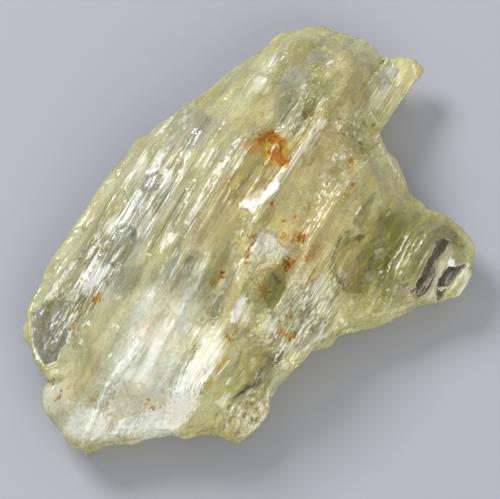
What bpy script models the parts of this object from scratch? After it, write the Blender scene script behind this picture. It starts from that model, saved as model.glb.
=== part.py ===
"""Heliodor, golden beryl: one rough, naturally etched crystal fragment that lies on its flattest face.

The crystal is a bundle of rods that grew together side by side, all parallel to the c-axis, which runs
along X. Y is across the bundle and Z is up. The bundle is broken off all round at the fragment's outline,
its rim is chipped thin, and solution has etched its faces into long steps, pits and gullies.
"""

from math import radians

import bmesh
import bpy
import numpy as np
from mathutils import Matrix, Vector, noise

MM = 0.001

# The rods, in mm: where each starts and ends along the c-axis, the middle of its width, its width, the
# level of its upper flat, its thickness, and its roll about its own length in degrees.
RODS = {
    "left_rim": (-20.5, 4.0, 12.2, 5.0, 6.4, 4.6, 22),
    "left_face": (-20.5, 8.0, 9.4, 6.4, 9.2, 7.2, 24),
    "left_shoulder": (-20.0, 12.0, 7.0, 4.4, 10.8, 9.4, 14),
    "plateau_west": (-22.0, 12.0, 4.6, 5.6, 13.0, 12.6, 10),
    "plateau_crest": (-25.0, 16.0, 2.3, 5.0, 13.6, 13.4, 2),
    "plateau_east": (-22.0, 18.0, 0.2, 4.8, 13.2, 12.8, -6),
    "long_ridge": (-3.0, 19.0, -1.3, 2.6, 13.4, 10.0, -4),
    "pit_floor": (-19.0, 18.0, -3.1, 5.2, 12.0, 10.0, -6),
    "east_ridge": (-9.0, 14.0, -5.8, 4.8, 11.2, 9.6, -4),
    "east_edge": (-9.0, 13.0, -8.2, 3.8, 9.4, 7.6, -16),
    "silver_patch": (-21.5, -8.5, -2.9, 5.8, 11.9, 9.4, 24),
    "south_crest": (-25.0, -15.0, 3.4, 5.0, 11.4, 9.6, 8),
    "south_west": (-25.0, -15.0, 6.4, 4.8, 9.2, 7.4, 16),
    "south_east": (-25.0, -14.0, 0.6, 4.8, 11.0, 8.8, 0),
    "foot_inner": (-20.0, -7.5, -6.0, 4.4, 6.8, 5.4, -6),
    "foot_outer": (-18.5, -6.5, -8.2, 4.2, 6.8, 5.2, 4),
    "crown_west": (2.0, 19.0, 9.6, 6.4, 8.4, 6.4, 20),
    "crown": (4.0, 22.5, 6.2, 5.4, 10.8, 8.8, 12),
    "crown_window": (6.0, 23.0, 3.0, 5.0, 12.2, 10.2, 10),
    "crown_east": (8.0, 23.0, 0.0, 4.4, 12.2, 10.2, -6),
    "finger_root": (10.5, 18.5, -3.2, 4.2, 8.8, 6.8, -8),
    "finger": (13.0, 25.0, -4.1, 4.0, 9.6, 6.4, 4),
    "lobe_root": (-8.0, 12.0, -10.6, 4.8, 7.6, 6.4, -4),
    "lobe": (-6.0, 12.0, -13.2, 4.6, 7.6, 7.4, 4),
    "lobe_outer": (-3.0, 12.0, -15.8, 4.4, 6.8, 5.6, -6),
    "lobe_tip": (0.0, 11.5, -18.2, 3.8, 5.6, 4.0, -10),
}

# How much wider than its place each rod is, so that it grows into its neighbours.
ROD_OVERLAP = 1.24

# The level that the lowest rods are worn flat to, which is the face that the crystal rests on.
RESTING_LEVEL = 0.55

# Towards both ends the bundle falls away: where along the c-axis the fall begins, where it is complete,
# and what share of the height is left there.
SOUTH_FALL = (-7.0, -25.0, 0.34)
NORTH_FALL = (6.0, 23.0, 0.42)

# The fragment's outline seen from above, in mm, stretch by stretch, anticlockwise from the finger's tip.
FINGER = [(22.1, -4.3), (21.4, -2.5), (19.4, -2.0)]
CROWN = [(20.9, -0.9), (20.7, 2.2), (20.3, 4.8), (18.7, 6.9), (15.9, 8.3), (12.6, 9.7), (8.3, 11.0), (4.9, 12.7)]
LEFT_EDGE = [(3.0, 13.5), (-2.2, 13.8), (-9.8, 13.8), (-14.9, 13.7), (-16.5, 12.9)]
LEFT_END = [(-17.6, 11.3), (-18.9, 9.3), (-17.7, 7.9), (-20.0, 8.5)]
SOUTH_LOBE = [(-21.5, 7.6), (-22.1, 6.0), (-23.0, 4.3), (-23.0, 3.0), (-20.8, 0.9), (-19.1, -1.5), (-17.7, -2.8)]
FOOT = [(-17.7, -4.2), (-16.1, -5.9), (-15.8, -7.8), (-14.2, -9.0), (-12.0, -9.2), (-10.7, -8.4), (-8.6, -8.9)]
EAST_EDGE = [(-6.9, -9.4), (-5.1, -9.8), (-2.4, -11.6)]
LOBE = [(1.1, -14.3), (3.1, -15.9), (4.8, -17.8), (6.4, -18.2), (8.5, -17.3), (9.7, -16.3), (10.4, -14.8)]
BAY = [(10.6, -11.6), (11.0, -9.6), (12.4, -7.4), (13.4, -5.1), (16.0, -5.1), (19.8, -5.4), (21.4, -5.6)]
OUTLINE = FINGER + CROWN + LEFT_EDGE + LEFT_END + SOUTH_LOBE + FOOT + EAST_EDGE + LOBE + BAY

# How far etching eats back the outline.
ETCHED_BACK = 0.35

# The chipped rim: how wide the chamfer is, the level that it closes on, what share of the height is left
# there, and by what share its width changes over patches of what size.
RIM_WIDTH = 3.0
RIM_LEVEL = 3.6
RIM_SHARE = 0.34
RIM_UNEVEN = 0.45
RIM_PATCH = 4.5

# Pits (negative) and knobs (positive), in mm: place along and across, half length, half width, height.
# Each is flat over the inner part of its reach.
HOLLOW_FLAT = 0.2
HOLLOWS = {
    "central_pit": (-3.6, -4.2, 4.2, 2.0, -1.9),
    "pit_tail": (-9.0, -4.6, 2.6, 1.2, -1.2),
    "orange_pit": (6.6, 1.9, 1.8, 1.2, -1.5),
    "orange_gully": (2.2, 1.6, 3.4, 0.7, -1.0),
    "bay_hollow": (12.2, -4.4, 3.2, 2.2, -2.4),
    "window_hollow": (13.8, 3.2, 3.6, 1.7, -1.1),
    "window_gully": (10.4, 2.2, 3.0, 0.6, -1.2),
    "left_gully": (-4.0, 7.0, 9.0, 0.8, -1.3),
    "left_window": (-14.5, 10.2, 3.4, 2.2, -0.8),
    "south_gully": (-19.0, 2.0, 3.6, 0.8, -1.0),
    "south_knob": (-21.8, 4.6, 1.6, 1.2, 0.8),
    "foot_hollow": (-10.6, -7.2, 2.0, 1.4, -1.6),
    "foot_knob": (-13.4, -7.6, 1.6, 1.4, 1.0),
    "lobe_groove": (4.6, -10.8, 5.2, 0.7, -1.6),
    "lobe_window": (5.0, -15.4, 3.6, 1.2, -0.9),
    "finger_crease": (16.6, -3.0, 2.2, 0.6, -1.4),
    "east_notch": (-1.4, -8.8, 1.8, 1.6, -1.8),
}

# Etched relief: the length, width and depth in mm of the steps of one size, coarse first.
ETCH_STEPS = ((15.0, 2.6, 1.1), (7.0, 1.3, 0.6))
STEP_SEED = 7.3
# The rods' broken ends: the width of one end, and how far it stands back at most.
END_WIDTH = 1.5
END_DEPTH = 1.0

# The grid in mm that the bundle is fused on, and the triangles that are left after thinning out.
FUSING_GRID = 0.36
TRIANGLES = 9200

# The blocks that cut the outline and the resting face are larger than the crystal by far.
BLOCK_SIDE = 80.0
BLOCK_HEIGHT = 20.0

HELIODOR_COLOUR = (0.62, 0.66, 0.30, 1.0)
BERYL_IOR = 1.577


def clear_scene():
    for obj in list(bpy.data.objects):
        bpy.data.objects.remove(obj, do_unlink=True)


def new_collection(name):
    collection = bpy.data.collections.new(name)
    bpy.context.scene.collection.children.link(collection)
    return collection


def object_from(bm, name, collection):
    mesh = bpy.data.meshes.new(name)
    bm.to_mesh(mesh)
    bm.free()
    obj = bpy.data.objects.new(name, mesh)
    collection.objects.link(obj)
    return obj


def bake_modifiers(obj):
    """Replaces the object's mesh by what its modifiers make of it."""
    bpy.context.view_layer.update()
    evaluated = obj.evaluated_get(bpy.context.evaluated_depsgraph_get())
    baked = bpy.data.meshes.new_from_object(evaluated)
    obj.modifiers.clear()
    obj.data = baked


def grow_rods(collection):
    """The rods as hexagonal prisms that overlap, each lying along X at its own level."""
    bm = bmesh.new()
    for start, end, across, width, level, thickness, roll in RODS.values():
        lie_down = Matrix.Rotation(radians(90), 4, "Y")
        flat_up = Matrix.Rotation(radians(30 + roll), 4, "X")
        squash = Matrix.Diagonal((1, 1, thickness / width, 1))
        place = Matrix.Translation(((start + end) / 2, across, level - thickness / 2))
        bmesh.ops.create_cone(
            bm,
            cap_ends=True,
            segments=6,
            radius1=width * ROD_OVERLAP / 2,
            radius2=width * ROD_OVERLAP / 2,
            depth=end - start,
            matrix=place @ squash @ flat_up @ lie_down,
        )
    bmesh.ops.scale(bm, vec=(MM, MM, MM), verts=bm.verts)
    return object_from(bm, "heliodor_crystal", collection)


def widened_outline(margin):
    """The outline's corners, moved out by a margin."""
    corners = np.array(OUTLINE)
    sides = np.roll(corners, -1, axis=0) - corners
    outward = np.stack([sides[:, 1], -sides[:, 0]], axis=1)
    outward /= np.linalg.norm(outward, axis=1, keepdims=True)
    at_corner = outward + np.roll(outward, 1, axis=0)
    at_corner /= np.linalg.norm(at_corner, axis=1, keepdims=True)
    return corners + margin * at_corner


def outline_block(collection):
    """A block with the fragment's outline, taller than the bundle: what lies outside it has broken away."""
    bm = bmesh.new()
    corners = [bm.verts.new((x, y, -BLOCK_HEIGHT / 4)) for x, y in widened_outline(ETCHED_BACK)]
    floor = bm.faces.new(corners)
    raised = bmesh.ops.extrude_face_region(bm, geom=[floor])["geom"]
    top = [item for item in raised if isinstance(item, bmesh.types.BMVert)]
    bmesh.ops.translate(bm, vec=(0, 0, BLOCK_HEIGHT), verts=top)
    bmesh.ops.scale(bm, vec=(MM, MM, MM), verts=bm.verts)
    bmesh.ops.recalc_face_normals(bm, faces=bm.faces)
    return object_from(bm, "outline_block", collection)


def ground_block(collection):
    """A block whose top is the resting face: what lies below it is worn away."""
    bm = bmesh.new()
    bmesh.ops.create_cube(bm, size=1)
    bmesh.ops.scale(bm, vec=(BLOCK_SIDE * MM, BLOCK_SIDE * MM, BLOCK_HEIGHT * MM), verts=bm.verts)
    bmesh.ops.translate(bm, vec=(0, 0, (RESTING_LEVEL - BLOCK_HEIGHT / 2) * MM), verts=bm.verts)
    return object_from(bm, "ground_block", collection)


def cut(obj, operation, cutter):
    boolean = obj.modifiers.new(cutter.name, "BOOLEAN")
    boolean.operation = operation
    boolean.object = cutter
    cutter.hide_render = True
    cutter.display_type = "WIRE"


def fuse(obj):
    remesh = obj.modifiers.new("fuse", "REMESH")
    remesh.mode = "VOXEL"
    remesh.voxel_size = FUSING_GRID * MM
    bake_modifiers(obj)


def distance_to_outline(points):
    """How far each point of the plan, in mm, lies from the nearest side of the outline."""
    nearest = np.full(len(points), np.inf)
    corners = np.array(OUTLINE)
    for start, end in zip(corners, np.roll(corners, -1, axis=0)):
        side = end - start
        share = np.clip((points - start) @ side / (side @ side), 0, 1)
        away = points - start - share[:, None] * side
        nearest = np.minimum(nearest, np.hypot(*away.T))
    return nearest


def chip_rim(points):
    """Brings the top and the underside together towards the outline, in a chamfer of uneven width."""
    away = distance_to_outline(points[:, :2])
    patches = np.array([noise.noise(Vector(point) / RIM_PATCH) for point in points])
    width = RIM_WIDTH * (1 + RIM_UNEVEN * patches)
    share = RIM_SHARE + (1 - RIM_SHARE) * np.clip(away / width, 0, 1)
    points[:, 2] = RIM_LEVEL + (points[:, 2] - RIM_LEVEL) * share


def rod_at(point, length, width, seed):
    """The middle of the cell that this point lies in, among long cells side by side along X."""
    cell = Vector((point[0] / length, point[1] / width, point[2] / width + seed))
    return noise.voronoi(cell)[1][0]


def chance(centre, seed):
    """A number from 0 to 1 that belongs to a cell."""
    return (1 - noise.cell(centre * seed)) / 2


def etched_depth(point):
    """How far below the rods' own surface the step lies that this point is on, over all sizes of step."""
    depth = 0.0
    for turn, (length, width, deepest) in enumerate(ETCH_STEPS):
        depth += deepest * chance(rod_at(point, length, width, turn * STEP_SEED), 31.7)
    return depth


def end_depth(point):
    """How far back the rod that this point is on has broken off."""
    middle_plane = (0, point[1], point[2])
    return END_DEPTH * chance(rod_at(middle_plane, 1, END_WIDTH, 0), 17.1)


def fall_away(points):
    """Lowers what stands above the rim's level towards both broken ends."""
    for begin, end, left in (SOUTH_FALL, NORTH_FALL):
        share = np.clip((points[:, 0] - begin) / (end - begin), 0, 1)
        above = np.maximum(points[:, 2] - RIM_LEVEL, 0)
        points[:, 2] -= above * (1 - left) * share


def sink_hollows(points, upward):
    """Presses the pits into what faces up, and lifts the knobs."""
    for along, across, half_length, half_width, height in HOLLOWS.values():
        reach = np.hypot((points[:, 0] - along) / half_length, (points[:, 1] - across) / half_width)
        share = np.clip((1 - reach) / (1 - HOLLOW_FLAT), 0, 1)
        points[:, 2] += height * share * upward


def etch(obj):
    """Moves the fused surface: long steps on the flanks, uneven ends, pits, falling ends and a chipped rim."""
    mesh = obj.data
    normals = np.array([vertex.normal for vertex in mesh.vertices])
    points = np.array([vertex.co for vertex in mesh.vertices]) / MM
    eaten_flanks = np.array([etched_depth(point) for point in points])
    eaten_ends = np.array([end_depth(point) for point in points])
    points[:, 0] -= normals[:, 0] * eaten_ends
    points[:, 1] -= normals[:, 1] * eaten_flanks
    points[:, 2] -= normals[:, 2] * eaten_flanks
    sink_hollows(points, upward=np.clip(normals[:, 2], 0, 1))
    fall_away(points)
    chip_rim(points)
    mesh.vertices.foreach_set("co", (points * MM).ravel())
    mesh.update()


def drop_crumbs(obj):
    """Leaves only the largest piece, where etching has parted a crumb from the rim."""
    bm = bmesh.new()
    bm.from_mesh(obj.data)
    unseen = set(bm.verts)
    pieces = []
    while unseen:
        piece = set()
        front = {unseen.pop()}
        while front:
            piece |= front
            front = {edge.other_vert(vert) for vert in front for edge in vert.link_edges} - piece
        pieces.append(piece)
        unseen -= piece
    largest = max(pieces, key=len)
    bmesh.ops.delete(bm, geom=[vert for vert in bm.verts if vert not in largest], context="VERTS")
    bm.to_mesh(obj.data)
    bm.free()


def thin_out(obj):
    mesh = obj.data
    mesh.calc_loop_triangles()
    decimate = obj.modifiers.new("thin_out", "DECIMATE")
    decimate.ratio = TRIANGLES / len(mesh.loop_triangles)
    decimate.use_collapse_triangulate = True
    bake_modifiers(obj)


def stand_on_origin(obj):
    """Puts the middle of the resting side at the origin."""
    corners = np.array([vertex.co for vertex in obj.data.vertices])
    low = corners.min(axis=0)
    high = corners.max(axis=0)
    middle = (low + high) / 2
    obj.data.transform(Matrix.Translation((-middle[0], -middle[1], -low[2])))


def heliodor_material():
    """Golden beryl: clear pale yellow-green, glossy where a face is fresh and dull where it is etched."""
    material = bpy.data.materials.new("golden_beryl")
    material.use_nodes = True
    shader = material.node_tree.nodes["Principled BSDF"]
    shader.inputs["Base Color"].default_value = HELIODOR_COLOUR
    shader.inputs["Metallic"].default_value = 0.0
    shader.inputs["Roughness"].default_value = 0.2
    shader.inputs["IOR"].default_value = BERYL_IOR
    shader.inputs["Transmission Weight"].default_value = 0.8
    return material


def main():
    clear_scene()
    pieces = new_collection("heliodor")
    cutters = new_collection("cutters")
    crystal = grow_rods(pieces)
    fuse(crystal)
    cut(crystal, "INTERSECT", outline_block(cutters))
    fuse(crystal)
    etch(crystal)
    fuse(crystal)
    drop_crumbs(crystal)
    thin_out(crystal)
    cut(crystal, "DIFFERENCE", ground_block(cutters))
    bake_modifiers(crystal)
    stand_on_origin(crystal)
    crystal.data.materials.append(heliodor_material())


main()
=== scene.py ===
# %% [markdown]
# # A rough heliodor crystal
#
# Heliodor is golden beryl, a clear silicate of beryllium and aluminium that a little iron turns
# yellow. This one is a fragment 45 mm along its c-axis. Warm fluids have etched it, so it has no
# crystal faces left: its skin is a bundle of grooves, steps and pits that all run along the
# c-axis, clear in some places and milky in others, with rust in its cracks.
#
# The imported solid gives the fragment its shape. This lesson adds the relief that is too fine for
# it, and the clear, milky and rusty stone.

# %% Load the frame
import math

import bmesh
import bpy
import numpy as np
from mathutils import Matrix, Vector, noise


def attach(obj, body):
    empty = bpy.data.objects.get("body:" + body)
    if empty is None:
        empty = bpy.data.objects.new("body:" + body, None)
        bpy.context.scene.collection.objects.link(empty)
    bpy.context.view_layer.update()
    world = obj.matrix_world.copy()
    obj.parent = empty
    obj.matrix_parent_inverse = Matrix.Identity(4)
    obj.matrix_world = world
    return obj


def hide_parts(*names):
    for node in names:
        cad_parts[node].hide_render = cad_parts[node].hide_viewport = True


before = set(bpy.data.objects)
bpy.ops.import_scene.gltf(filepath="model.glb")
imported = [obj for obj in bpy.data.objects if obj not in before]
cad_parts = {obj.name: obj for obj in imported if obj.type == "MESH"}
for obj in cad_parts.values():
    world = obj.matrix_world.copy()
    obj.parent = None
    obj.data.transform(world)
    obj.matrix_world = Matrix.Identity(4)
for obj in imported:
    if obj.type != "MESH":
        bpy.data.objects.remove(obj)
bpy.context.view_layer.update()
MM = 0.001
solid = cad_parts["heliodor_crystal"]

# %% [markdown]
# ## The camera
#
# The photograph looks down on the stone, 70.5 degrees above the table, with the c-axis running
# from the lower left to the upper right. A long lens at 260 mm gives the flat view of a close-up.
# The picture's plane at the stone is 42.55 mm wide, so one of its 500 pixels is 0.085 mm.

# %% Camera
PICTURE = (500, 499)
VIEW_WIDTH = 42.55 * MM
DISTANCE = 260 * MM
AIM = Vector((-0.125, 1.5, 4.45)) * MM
TURNED, RAISED = math.radians(-60), math.radians(70.5)

to_camera = Vector((math.sin(TURNED) * math.cos(RAISED), -math.cos(TURNED) * math.cos(RAISED),
                    math.sin(RAISED)))
right = Vector((math.cos(TURNED), math.sin(TURNED), 0))
up = to_camera.cross(right)

lens = bpy.data.cameras.new("close_up_lens")
lens.sensor_width = 36
lens.lens = lens.sensor_width * DISTANCE / VIEW_WIDTH
lens.clip_start, lens.clip_end = 0.005, 10
camera = bpy.data.objects.new("camera", lens)
camera.location = AIM + to_camera * DISTANCE
camera.rotation_euler = (-to_camera).to_track_quat("-Z", "Y").to_euler()
bpy.context.scene.collection.objects.link(camera)
bpy.context.scene.camera = camera
print("camera at", [round(c / MM) for c in camera.location], "mm, lens", round(lens.lens), "mm")

# %% [markdown]
# ## A finer skin
#
# The solid is drawn with few, large triangles. A voxel remesh gives the stone an even skin. The
# grain of the stone runs along X, so a copy is squeezed in X, remeshed and stretched again: its
# faces come out long along the grain and narrow across it, which is where the detail is. Each
# smoothing step is followed by one that pushes back, so the old triangles go and the edges stay.

# %% Skin
GRAIN_STRETCH = 2.0
SKIN_CELL = 0.10 * MM
SMOOTHING_ROUNDS = 12
SMOOTH_AND_PUSH_BACK = (0.5, -0.52)
SAME_POINT = 1e-6

skin = solid.data.copy()
skin.name = "crystal_skin"
work = bmesh.new()
work.from_mesh(skin)
bmesh.ops.remove_doubles(work, verts=work.verts, dist=SAME_POINT)
bmesh.ops.scale(work, vec=(1 / GRAIN_STRETCH, 1, 1), verts=work.verts)
work.to_mesh(skin)
work.free()
crystal = bpy.data.objects.new("crystal", skin)
bpy.context.scene.collection.objects.link(crystal)


def bake_modifiers():
    """Makes the modifiers of the crystal part of its mesh, and returns the mesh."""
    old = crystal.data
    seen = crystal.evaluated_get(bpy.context.evaluated_depsgraph_get())
    new = bpy.data.meshes.new_from_object(seen)
    crystal.modifiers.clear()
    crystal.data = new
    bpy.data.meshes.remove(old)
    return new


remesh = crystal.modifiers.new("skin", "REMESH")
remesh.mode = "VOXEL"
remesh.voxel_size = SKIN_CELL
for turn in range(SMOOTHING_ROUNDS):
    for push in SMOOTH_AND_PUSH_BACK:
        step = crystal.modifiers.new("smoothing", "SMOOTH")
        step.factor, step.iterations = push, 1
fine = bake_modifiers()
work = bmesh.new()
work.from_mesh(fine)
bmesh.ops.scale(work, vec=(GRAIN_STRETCH, 1, 1), verts=work.verts)
work.normal_update()
work.to_mesh(fine)
work.free()
print("skin of", len(fine.vertices), "points,", 2 * len(fine.polygons), "triangles")

# %% [markdown]
# ## Points, and how marks reach them
#
# The marks of this stone are known from one picture, so each is a named outline of its pixels,
# grown by a width: two corners make a stroke, and three or more a closed outline. Every point of
# the skin is found in the picture as the camera sees it. Its distance inside the nearest mark is
# kept in mm, on the stone, so a mark stays where it is from any side. The material reads that
# distance, and draws a crisp edge even between the points of the mesh.

# %% Points
PIXEL_MM = VIEW_WIDTH / PICTURE[0] / MM
OUTSIDE = -3.0  # mm, the distance of a point that no mark comes near


def read_points():
    """The places in mm and the normals of all points of the skin."""
    places, outward = (np.empty(len(fine.vertices) * 3) for _ in range(2))
    fine.vertices.foreach_get("co", places)
    fine.vertices.foreach_get("normal", outward)
    return places.reshape(-1, 3) / MM, outward.reshape(-1, 3)


def in_picture(places):
    """Where the camera sees places given in mm, in pixels."""
    seen = places * MM - np.array(camera.location)
    depth = -seen @ np.array(to_camera)
    zoom = DISTANCE / depth / (PIXEL_MM * MM)
    return np.stack((PICTURE[0] / 2 + seen @ np.array(right) * zoom,
                     PICTURE[1] / 2 - seen @ np.array(up) * zoom), axis=1)


places, outward = read_points()
pixels = in_picture(places)
print("the stone fills pixels", pixels.min(axis=0).round(), "to", pixels.max(axis=0).round())


# %% Marks on points
def each_mark(family):
    """The marks of a family. A name holds one mark, or a list of strokes of one place."""
    for marks in family.values():
        yield from marks if isinstance(marks, list) else [marks]


def inside(mark, pixels):
    """How far pixels lie inside a mark, in mm. A mark is (strength, growth, corner, corner, ...)."""
    corners = np.array(mark[2:], float)
    gap = np.full(len(pixels), 1e9)
    odd = np.zeros(len(pixels), bool)
    for a, b in zip(corners, np.roll(corners, -1, axis=0)):
        along = b - a
        t = np.clip((pixels - a) @ along / max(along @ along, 1e-9), 0, 1)
        gap = np.minimum(gap, np.linalg.norm(pixels - a - t[:, None] * along, axis=1))
        crosses = (a[1] > pixels[:, 1]) != (b[1] > pixels[:, 1])
        slope = along[0] / along[1] if along[1] else 0.0
        odd ^= crosses & (pixels[:, 0] < a[0] + (pixels[:, 1] - a[1]) * slope)
    return (np.where(odd, gap, -gap) + mark[1]) * PIXEL_MM


def nearest_mark(family, pixels, facing):
    """Each point's distance inside its nearest mark, in mm, and that mark's strength."""
    edge, depth = np.full(len(pixels), OUTSIDE), np.zeros(len(pixels))
    for mark in each_mark(family):
        d = np.where(facing, inside(mark, pixels), OUTSIDE)
        depth = np.where(d > edge, mark[0], depth)
        edge = np.maximum(edge, d)
    return edge, depth


def soft_share(family, pixels, facing, blur):
    """Each point's share in marks whose edges are blurred over that many mm."""
    share = np.zeros(len(pixels))
    for mark in each_mark(family):
        t = np.clip(0.5 + inside(mark, pixels) / blur, 0, 1) * facing
        share = np.maximum(share, mark[0] * t * t * (3 - 2 * t))
    return share


print("a mark that grows by one pixel grows by", round(PIXEL_MM, 3), "mm")

# %% [markdown]
# ## Kinds of ground
#
# The skin isn't the same all over. Some of it is fluted by fine parallel grooves, some is grainy
# with little pits, and the clear windows are smooth, because they broke off clean. The rest has a
# little of everything. These soft zones say where.

# %% Zones
ZONE_BLUR, SMOOTH_BLUR = 2.0, 0.8  # mm
FLUTED = {
    "left_strip": (0.7, 18, (60, 330), (112, 240), (165, 165)),
    "north_west": (0.35, 12, (150, 170), (185, 115), (215, 150), (185, 190)),
    "east_patch": (1.0, 4, (180, 392), (184, 372), (205, 340), (222, 335), (200, 390)),
    "middle": (0.15, 10, (225, 205), (250, 140), (300, 110), (318, 118), (262, 215)),
    "middle_comb": (0.8, 3, (226, 168), (240, 146), (250, 144), (238, 170)),
    "middle_comb_low": (0.6, 3, (220, 204), (232, 184), (244, 184), (232, 206)),
    "lobe_lines": (0.5, 2, (390, 276), (406, 238), (412, 238), (402, 276)),
    "south_lines": (0.6, 6, (88, 430), (140, 345)),
    "lower_right": (0.8, 10, (275, 360), (300, 300), (332, 262), (320, 330)),
    "crown_lines": (0.9, 6, (285, 128), (308, 98), (318, 100), (296, 134)),
    "long_ridge": (0.6, 5, (262, 205), (322, 120)),
    "plateau_lines": (0.15, 14, (175, 300), (210, 220), (245, 230), (215, 310)),
    "finger_lines": (0.45, 8, (366, 105), (398, 66), (404, 80), (384, 108)),
}
GRAINY = {
    "notch_wall": (1.0, 8, (335, 165), (345, 118), (372, 115), (375, 160)),
    "foot_lobe": (1.0, 3, (222, 432), (230, 404), (262, 390), (268, 402), (258, 424), (240, 434)),
    "pit_field": (0.7, 10, (240, 340), (262, 240), (300, 240), (300, 340)),
    "south_tips": (0.4, 8, (60, 400), (110, 435), (160, 420)),
    "crown": (0.3, 10, (270, 50), (340, 45), (330, 90), (290, 90)),
    "crown_flecks": (0.8, 3, (308, 90), (314, 68), (334, 56), (334, 66), (318, 80)),
    "plateau": (0.3, 10, (110, 400), (150, 330), (190, 300), (200, 330), (160, 400)),
    "lobe_green": (0.5, 2, (410, 240), (424, 214), (432, 222), (420, 262), (412, 268)),
    "lobe_low": (0.7, 3, (385, 286), (410, 280), (418, 290), (392, 296)),
    "lobe_left": (0.5, 8, (345, 300), (360, 240), (380, 240), (385, 300)),
    "east_row": (0.7, 6, (328, 100), (345, 130), (352, 165), (345, 195), (322, 200)),
    "middle_row": (0.5, 5, (300, 175), (318, 188), (300, 215)),
    "strip_row": (0.5, 5, (120, 270), (112, 250), (130, 215), (150, 190)),
}
SMOOTH = {
    "lobe_windows": (1.0, 2, (437, 238), (450, 242), (470, 264), (450, 290), (440, 302), (414, 296),
        (424, 268)),
    "lobe_olive": (0.8, 0, (336, 262), (342, 240), (350, 234), (372, 240), (372, 280), (350, 290)),
    "left_window": (0.8, 0, (33, 345), (33, 314), (46, 304), (72, 304), (68, 340), (50, 362)),
    "left_soft": (0.8, 4, (100, 325), (112, 290), (135, 265), (142, 280), (115, 320)),
    "crown_window": (1.0, 0, (281, 84), (291, 67), (309, 70), (297, 88)),
    "plateau": (0.6, 8, (150, 330), (165, 250), (200, 215), (215, 240), (175, 330)),
    "plateau_low": (0.5, 8, (115, 400), (150, 330), (190, 330), (150, 400)),
    "foot_window": (1.0, 0, (252, 376), (264, 358), (270, 356), (270, 368), (256, 386)),
    "heart_left": (0.6, 6, (178, 232), (194, 196), (216, 184), (238, 208), (228, 240)),
}
print(len(FLUTED), "fluted,", len(GRAINY), "grainy and", len(SMOOTH), "smooth zones")

# %% Ground at each point
TURN_FADE = 4  # marks fade where the skin turns its side to the camera
FLUTED_BEHIND, FLUTED_LESS_IN_FRONT, FLUTED_IN_ZONES = 0.6, 0.5, 0.85

facing = np.clip(outward @ np.array(to_camera) * TURN_FADE, 0, 1)
fluted = (FLUTED_BEHIND - FLUTED_LESS_IN_FRONT * facing
          + FLUTED_IN_ZONES * soft_share(FLUTED, pixels, facing, ZONE_BLUR))
grainy = soft_share(GRAINY, pixels, facing, ZONE_BLUR)
level = soft_share(SMOOTH, pixels, facing, SMOOTH_BLUR)
print("fluted", round(float(fluted.mean()), 2), "grainy", round(float(grainy.mean()), 2),
      "smooth", round(float(level.mean()), 2))

# %% [markdown]
# ## Grooves, steps and pits
#
# Etching eats a beryl along its c-axis. It leaves splinters that lie side by side, each straight,
# at its own height and with its own slight tilt, and broken off square somewhere along its
# length. The cells of a Voronoi pattern across the grain are such splinters seen end on, and each
# is cut into lengths. Three sizes give the broad ribs, the grooves and the fine lines. On grainy
# ground the cells are short in all directions, so they read as pits.

# %% Splinters
SPLINTERS = (
    # length, width, height and tilt of each size, in mm, and its seed
    (11.0, 1.7, 0.06, 0.035, 1),
    (6.0, 0.62, 0.035, 0.14, 2),
    (3.5, 0.30, 0.018, 0.16, 3),
)
PITS = (1.1, 0.8, 0.09, 0.25, 4)
LEAN = 0.4  # splinters are taller than they are wide
BEND, SWAY, STAGGER = 0.25, 0.4, 2  # how far a splinter strays, sideways and at its ends
BENDS_ALONG, BENDS_ACROSS = 0.12, 1.2  # per mm
SEED_STEP = (11.3, 17.9, 5.1)
SPREAD = 3.7  # takes the seats of neighbours far enough apart to draw unlike lots
STARTS, PIECE_STEP = 9, (1.9, 0.7)


def splinters(length, width, height, tilt, seed, short=False):
    """How far each point is raised by the splinter that it lies on, in mm."""
    shift = Vector([seed * s for s in SEED_STEP])
    raised = np.empty(len(places))
    for i, (x, y, z) in enumerate(places):
        bend = BEND * noise.noise((x * BENDS_ALONG + seed, y * BENDS_ACROSS, z * BENDS_ACROSS))
        tall = z / width * (1 if short else LEAN)
        across = Vector((x / length if short else 0, y / width + bend * SWAY, tall)) + shift
        seat = noise.voronoi(across)[1][0]
        lot = noise.cell_vector(seat * SPREAD)
        if not short:
            piece = math.floor((x + bend * STAGGER) / length + STARTS * lot[2])
            step = Vector((piece * PIECE_STEP[0], piece * PIECE_STEP[1], 0))
            lot = noise.cell_vector(seat * SPREAD + step)
        off = across - seat
        raised[i] = height * (2 * lot[0] - 1) + tilt * width * (
            off[1] * (2 * lot[1] - 1) + off[2] * (2 * lot[2] - 1))
    return raised


ribs, grooves, fine_lines = (splinters(*size) for size in SPLINTERS)
pits = splinters(*PITS, short=True)
print("ribs up to", ribs.max().round(3), "mm, pits down to", pits.min().round(3), "mm")

# %% [markdown]
# ## Places with names
#
# Some steps and hollows can be told apart in the photograph, such as the long ridge, the groove
# and the hollow floors of the clear windows. Each is a mark too, with a height in place of its
# strength. Where the look of a place follows the same outline, the two share it by name.

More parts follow.
